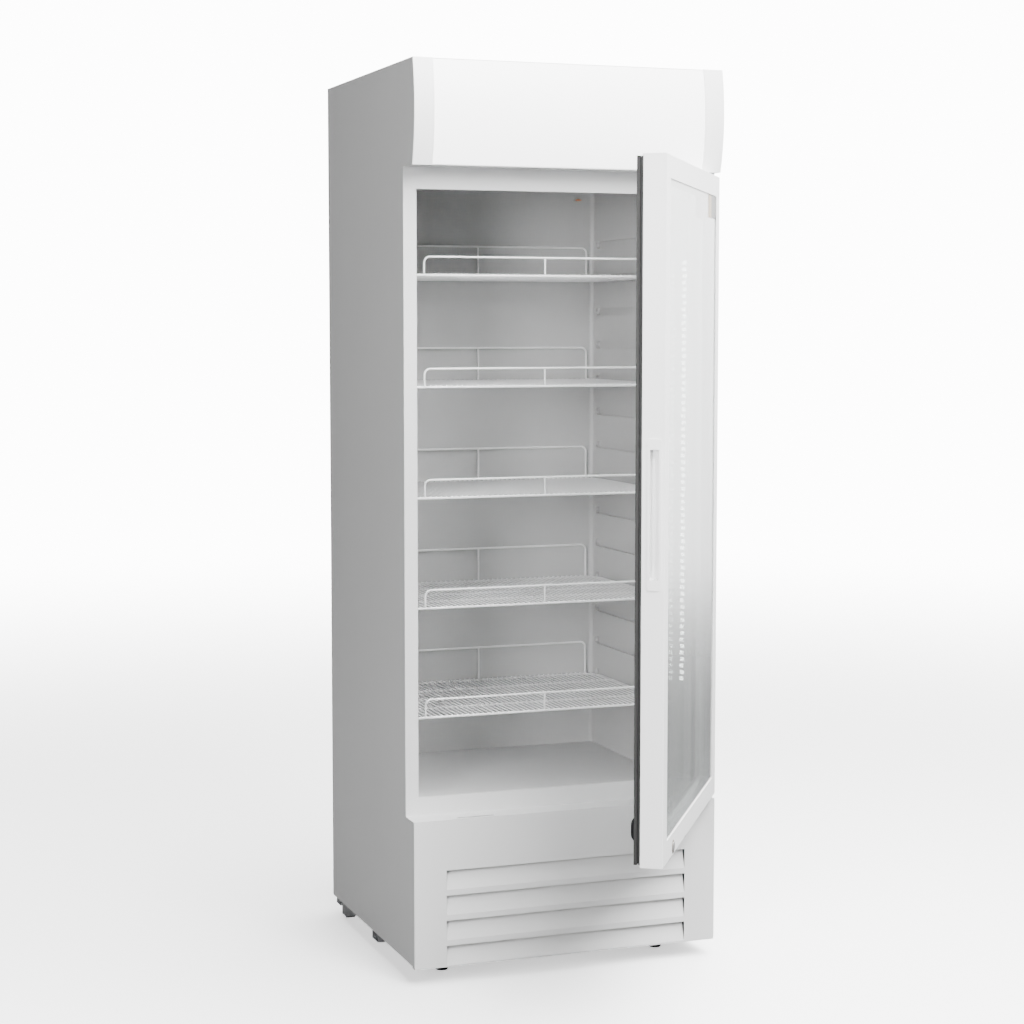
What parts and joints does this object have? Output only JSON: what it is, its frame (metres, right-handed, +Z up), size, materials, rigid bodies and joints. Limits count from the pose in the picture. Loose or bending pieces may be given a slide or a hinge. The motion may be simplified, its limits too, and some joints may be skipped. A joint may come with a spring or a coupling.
{
  "type": "glass door merchandiser",
  "caption": "Upright display fridge with a hinged glass door standing open, wire shelves inside, a curved light canopy on top and a louvred base on feet and rollers.",
  "frame": {"origin": "middle of the overall box on the floor, with the door standing open", "axes": "+Z up, +Y from the front to the back of the cabinet, +X to the right seen from the front"},
  "size_m": [0.6902, 1.1813, 1.894],
  "materials": {
    "white_steel": "smooth semi-gloss white paint",
    "zinc_steel": "galvanised, dull",
    "liner_plastic": "moulded, satin light grey",
    "foam": "foamed in place",
    "black_plastic": "moulded, matt black",
    "light_panel": "opal light panel, satin",
    "white_plastic": "extruded and moulded, satin white",
    "aluminium": "anodised",
    "led_lens": "clear yellowish lens",
    "dark_steel": "black paint",
    "fan_plastic": "moulded grey",
    "copper": "bright drawn copper",
    "black_steel": "gloss black enamel",
    "rubber": "soft black rubber",
    "drain_plastic": "plain hose",
    "screw_steel": "bright nickel",
    "shelf_wire": "white plastic-coated wire",
    "door_glass": "clear double glazing"
  },
  "bodies": {
    "cabinet": {"side_panel_left": "white_steel", "side_panel_right": "white_steel", "back_panel": "zinc_steel", "roof_panel": "white_steel", "face_frame": "white_steel", "liner_left": "liner_plastic", "liner_right": "liner_plastic", "liner_back": "liner_plastic", "liner_ceiling": "liner_plastic", "liner_floor": "liner_plastic", "insulation_foam": "foam", "base_frame": "zinc_steel", "grille_panel": "white_steel", "control_bezel": "black_plastic", "rear_cover": "zinc_steel", "canopy_box": "white_steel", "canopy_panel": "light_panel", "canopy_ends": "white_plastic", "canopy_lamp": "white_plastic", "led_channel": "aluminium", "led_lenses": "led_lens", "evaporator_cover": "liner_plastic", "evaporator_coil": "aluminium", "evaporator_fan_motor": "dark_steel", "temperature_probe": "copper", "compressor": "black_steel", "compressor_mounts": "rubber", "condenser": "dark_steel", "condenser_fan_mount": "zinc_steel", "drip_pan": "zinc_steel", "drain_tube": "drain_plastic", "filter_drier": "copper", "refrigerant_pipes": "copper", "control_box": "black_plastic", "cord_gland": "black_plastic", "hinge_brackets": "zinc_steel", "hinge_screws": "screw_steel", "roller_brackets": "zinc_steel"},
    "door": {"door_top_rail": "white_plastic", "door_bottom_rail": "white_plastic", "door_latch_stile": "white_plastic", "door_hinge_stile": "white_plastic", "glass_outer": "door_glass", "glass_inner": "door_glass", "glass_spacer": "aluminium", "door_gasket": "rubber", "handle_insert": "white_plastic"},
    "lock": {"lock_barrel": "screw_steel"},
    "knob": {"thermostat_knob": "black_plastic"},
    "condenser_fan": {"condenser_fan_blades": "fan_plastic"},
    "evaporator_fan": {"evaporator_fan_blades": "fan_plastic"},
    "foot_left": {"foot_left": "black_plastic"},
    "foot_right": {"foot_right": "black_plastic"},
    "roller_left": {"roller_left": "fan_plastic"},
    "roller_right": {"roller_right": "fan_plastic"},
    "shelf_1": {"shelf_1": "shelf_wire"},
    "shelf_2": {"shelf_2": "shelf_wire"},
    "shelf_3": {"shelf_3": "shelf_wire"},
    "shelf_4": {"shelf_4": "shelf_wire"},
    "shelf_5": {"shelf_5": "shelf_wire"}
  },
  "joints": [
    {"name": "door_swing", "type": "hinge", "parent": "cabinet", "child": "door", "pos_m": [0.3199, -0.0263, 1.012], "axis": [0, 0, 1], "range_deg": [-56.3, 58.7]},
    {"name": "lock_turn", "type": "hinge", "parent": "door", "child": "lock", "pos_m": [0.02777, -0.48776, 0.365], "axis": [-0.832, 0.5548, 0], "range_deg": [0, 90]},
    {"name": "knob_turn", "type": "hinge", "parent": "cabinet", "child": "knob", "pos_m": [0.1889, -0.0533, 0.292], "axis": [0, 1, 0], "range_deg": [-150, 150]},
    {"name": "condenser_fan_spin", "type": "hinge", "parent": "cabinet", "child": "condenser_fan", "pos_m": [-0.15426, 0.0807, 0.179], "axis": [0, 1, 0], "continuous": true},
    {"name": "evaporator_fan_spin", "type": "hinge", "parent": "cabinet", "child": "evaporator_fan", "pos_m": [-0.0051, 0.1737, 1.769], "axis": [0, 1, 0], "continuous": true},
    {"name": "shelf_1_slide", "type": "slide", "parent": "cabinet", "child": "shelf_1", "axis": [0, -1, 0], "range_m": [0, 0.03]},
    {"name": "shelf_2_slide", "type": "slide", "parent": "cabinet", "child": "shelf_2", "axis": [0, -1, 0], "range_m": [0, 0.03]},
    {"name": "shelf_3_slide", "type": "slide", "parent": "cabinet", "child": "shelf_3", "axis": [0, -1, 0], "range_m": [0, 0.03]},
    {"name": "shelf_4_slide", "type": "slide", "parent": "cabinet", "child": "shelf_4", "axis": [0, -1, 0], "range_m": [0, 0.03]},
    {"name": "shelf_5_slide", "type": "slide", "parent": "cabinet", "child": "shelf_5", "axis": [0, -1, 0], "range_m": [0, 0.03]},
    {"name": "foot_left_turn", "type": "hinge", "parent": "cabinet", "child": "foot_left", "pos_m": [-0.2521, 0.0577, 0.02], "axis": [0, 0, 1], "continuous": true},
    {"name": "foot_right_turn", "type": "hinge", "parent": "cabinet", "child": "foot_right", "pos_m": [0.2419, 0.0577, 0.02], "axis": [0, 0, 1], "continuous": true},
    {"name": "roller_left_spin", "type": "hinge", "parent": "cabinet", "child": "roller_left", "pos_m": [-0.3231, 0.5127, 0.013], "axis": [1, 0, 0], "continuous": true},
    {"name": "roller_right_spin", "type": "hinge", "parent": "cabinet", "child": "roller_right", "pos_m": [0.3129, 0.5127, 0.013], "axis": [1, 0, 0], "continuous": true}
  ]
}
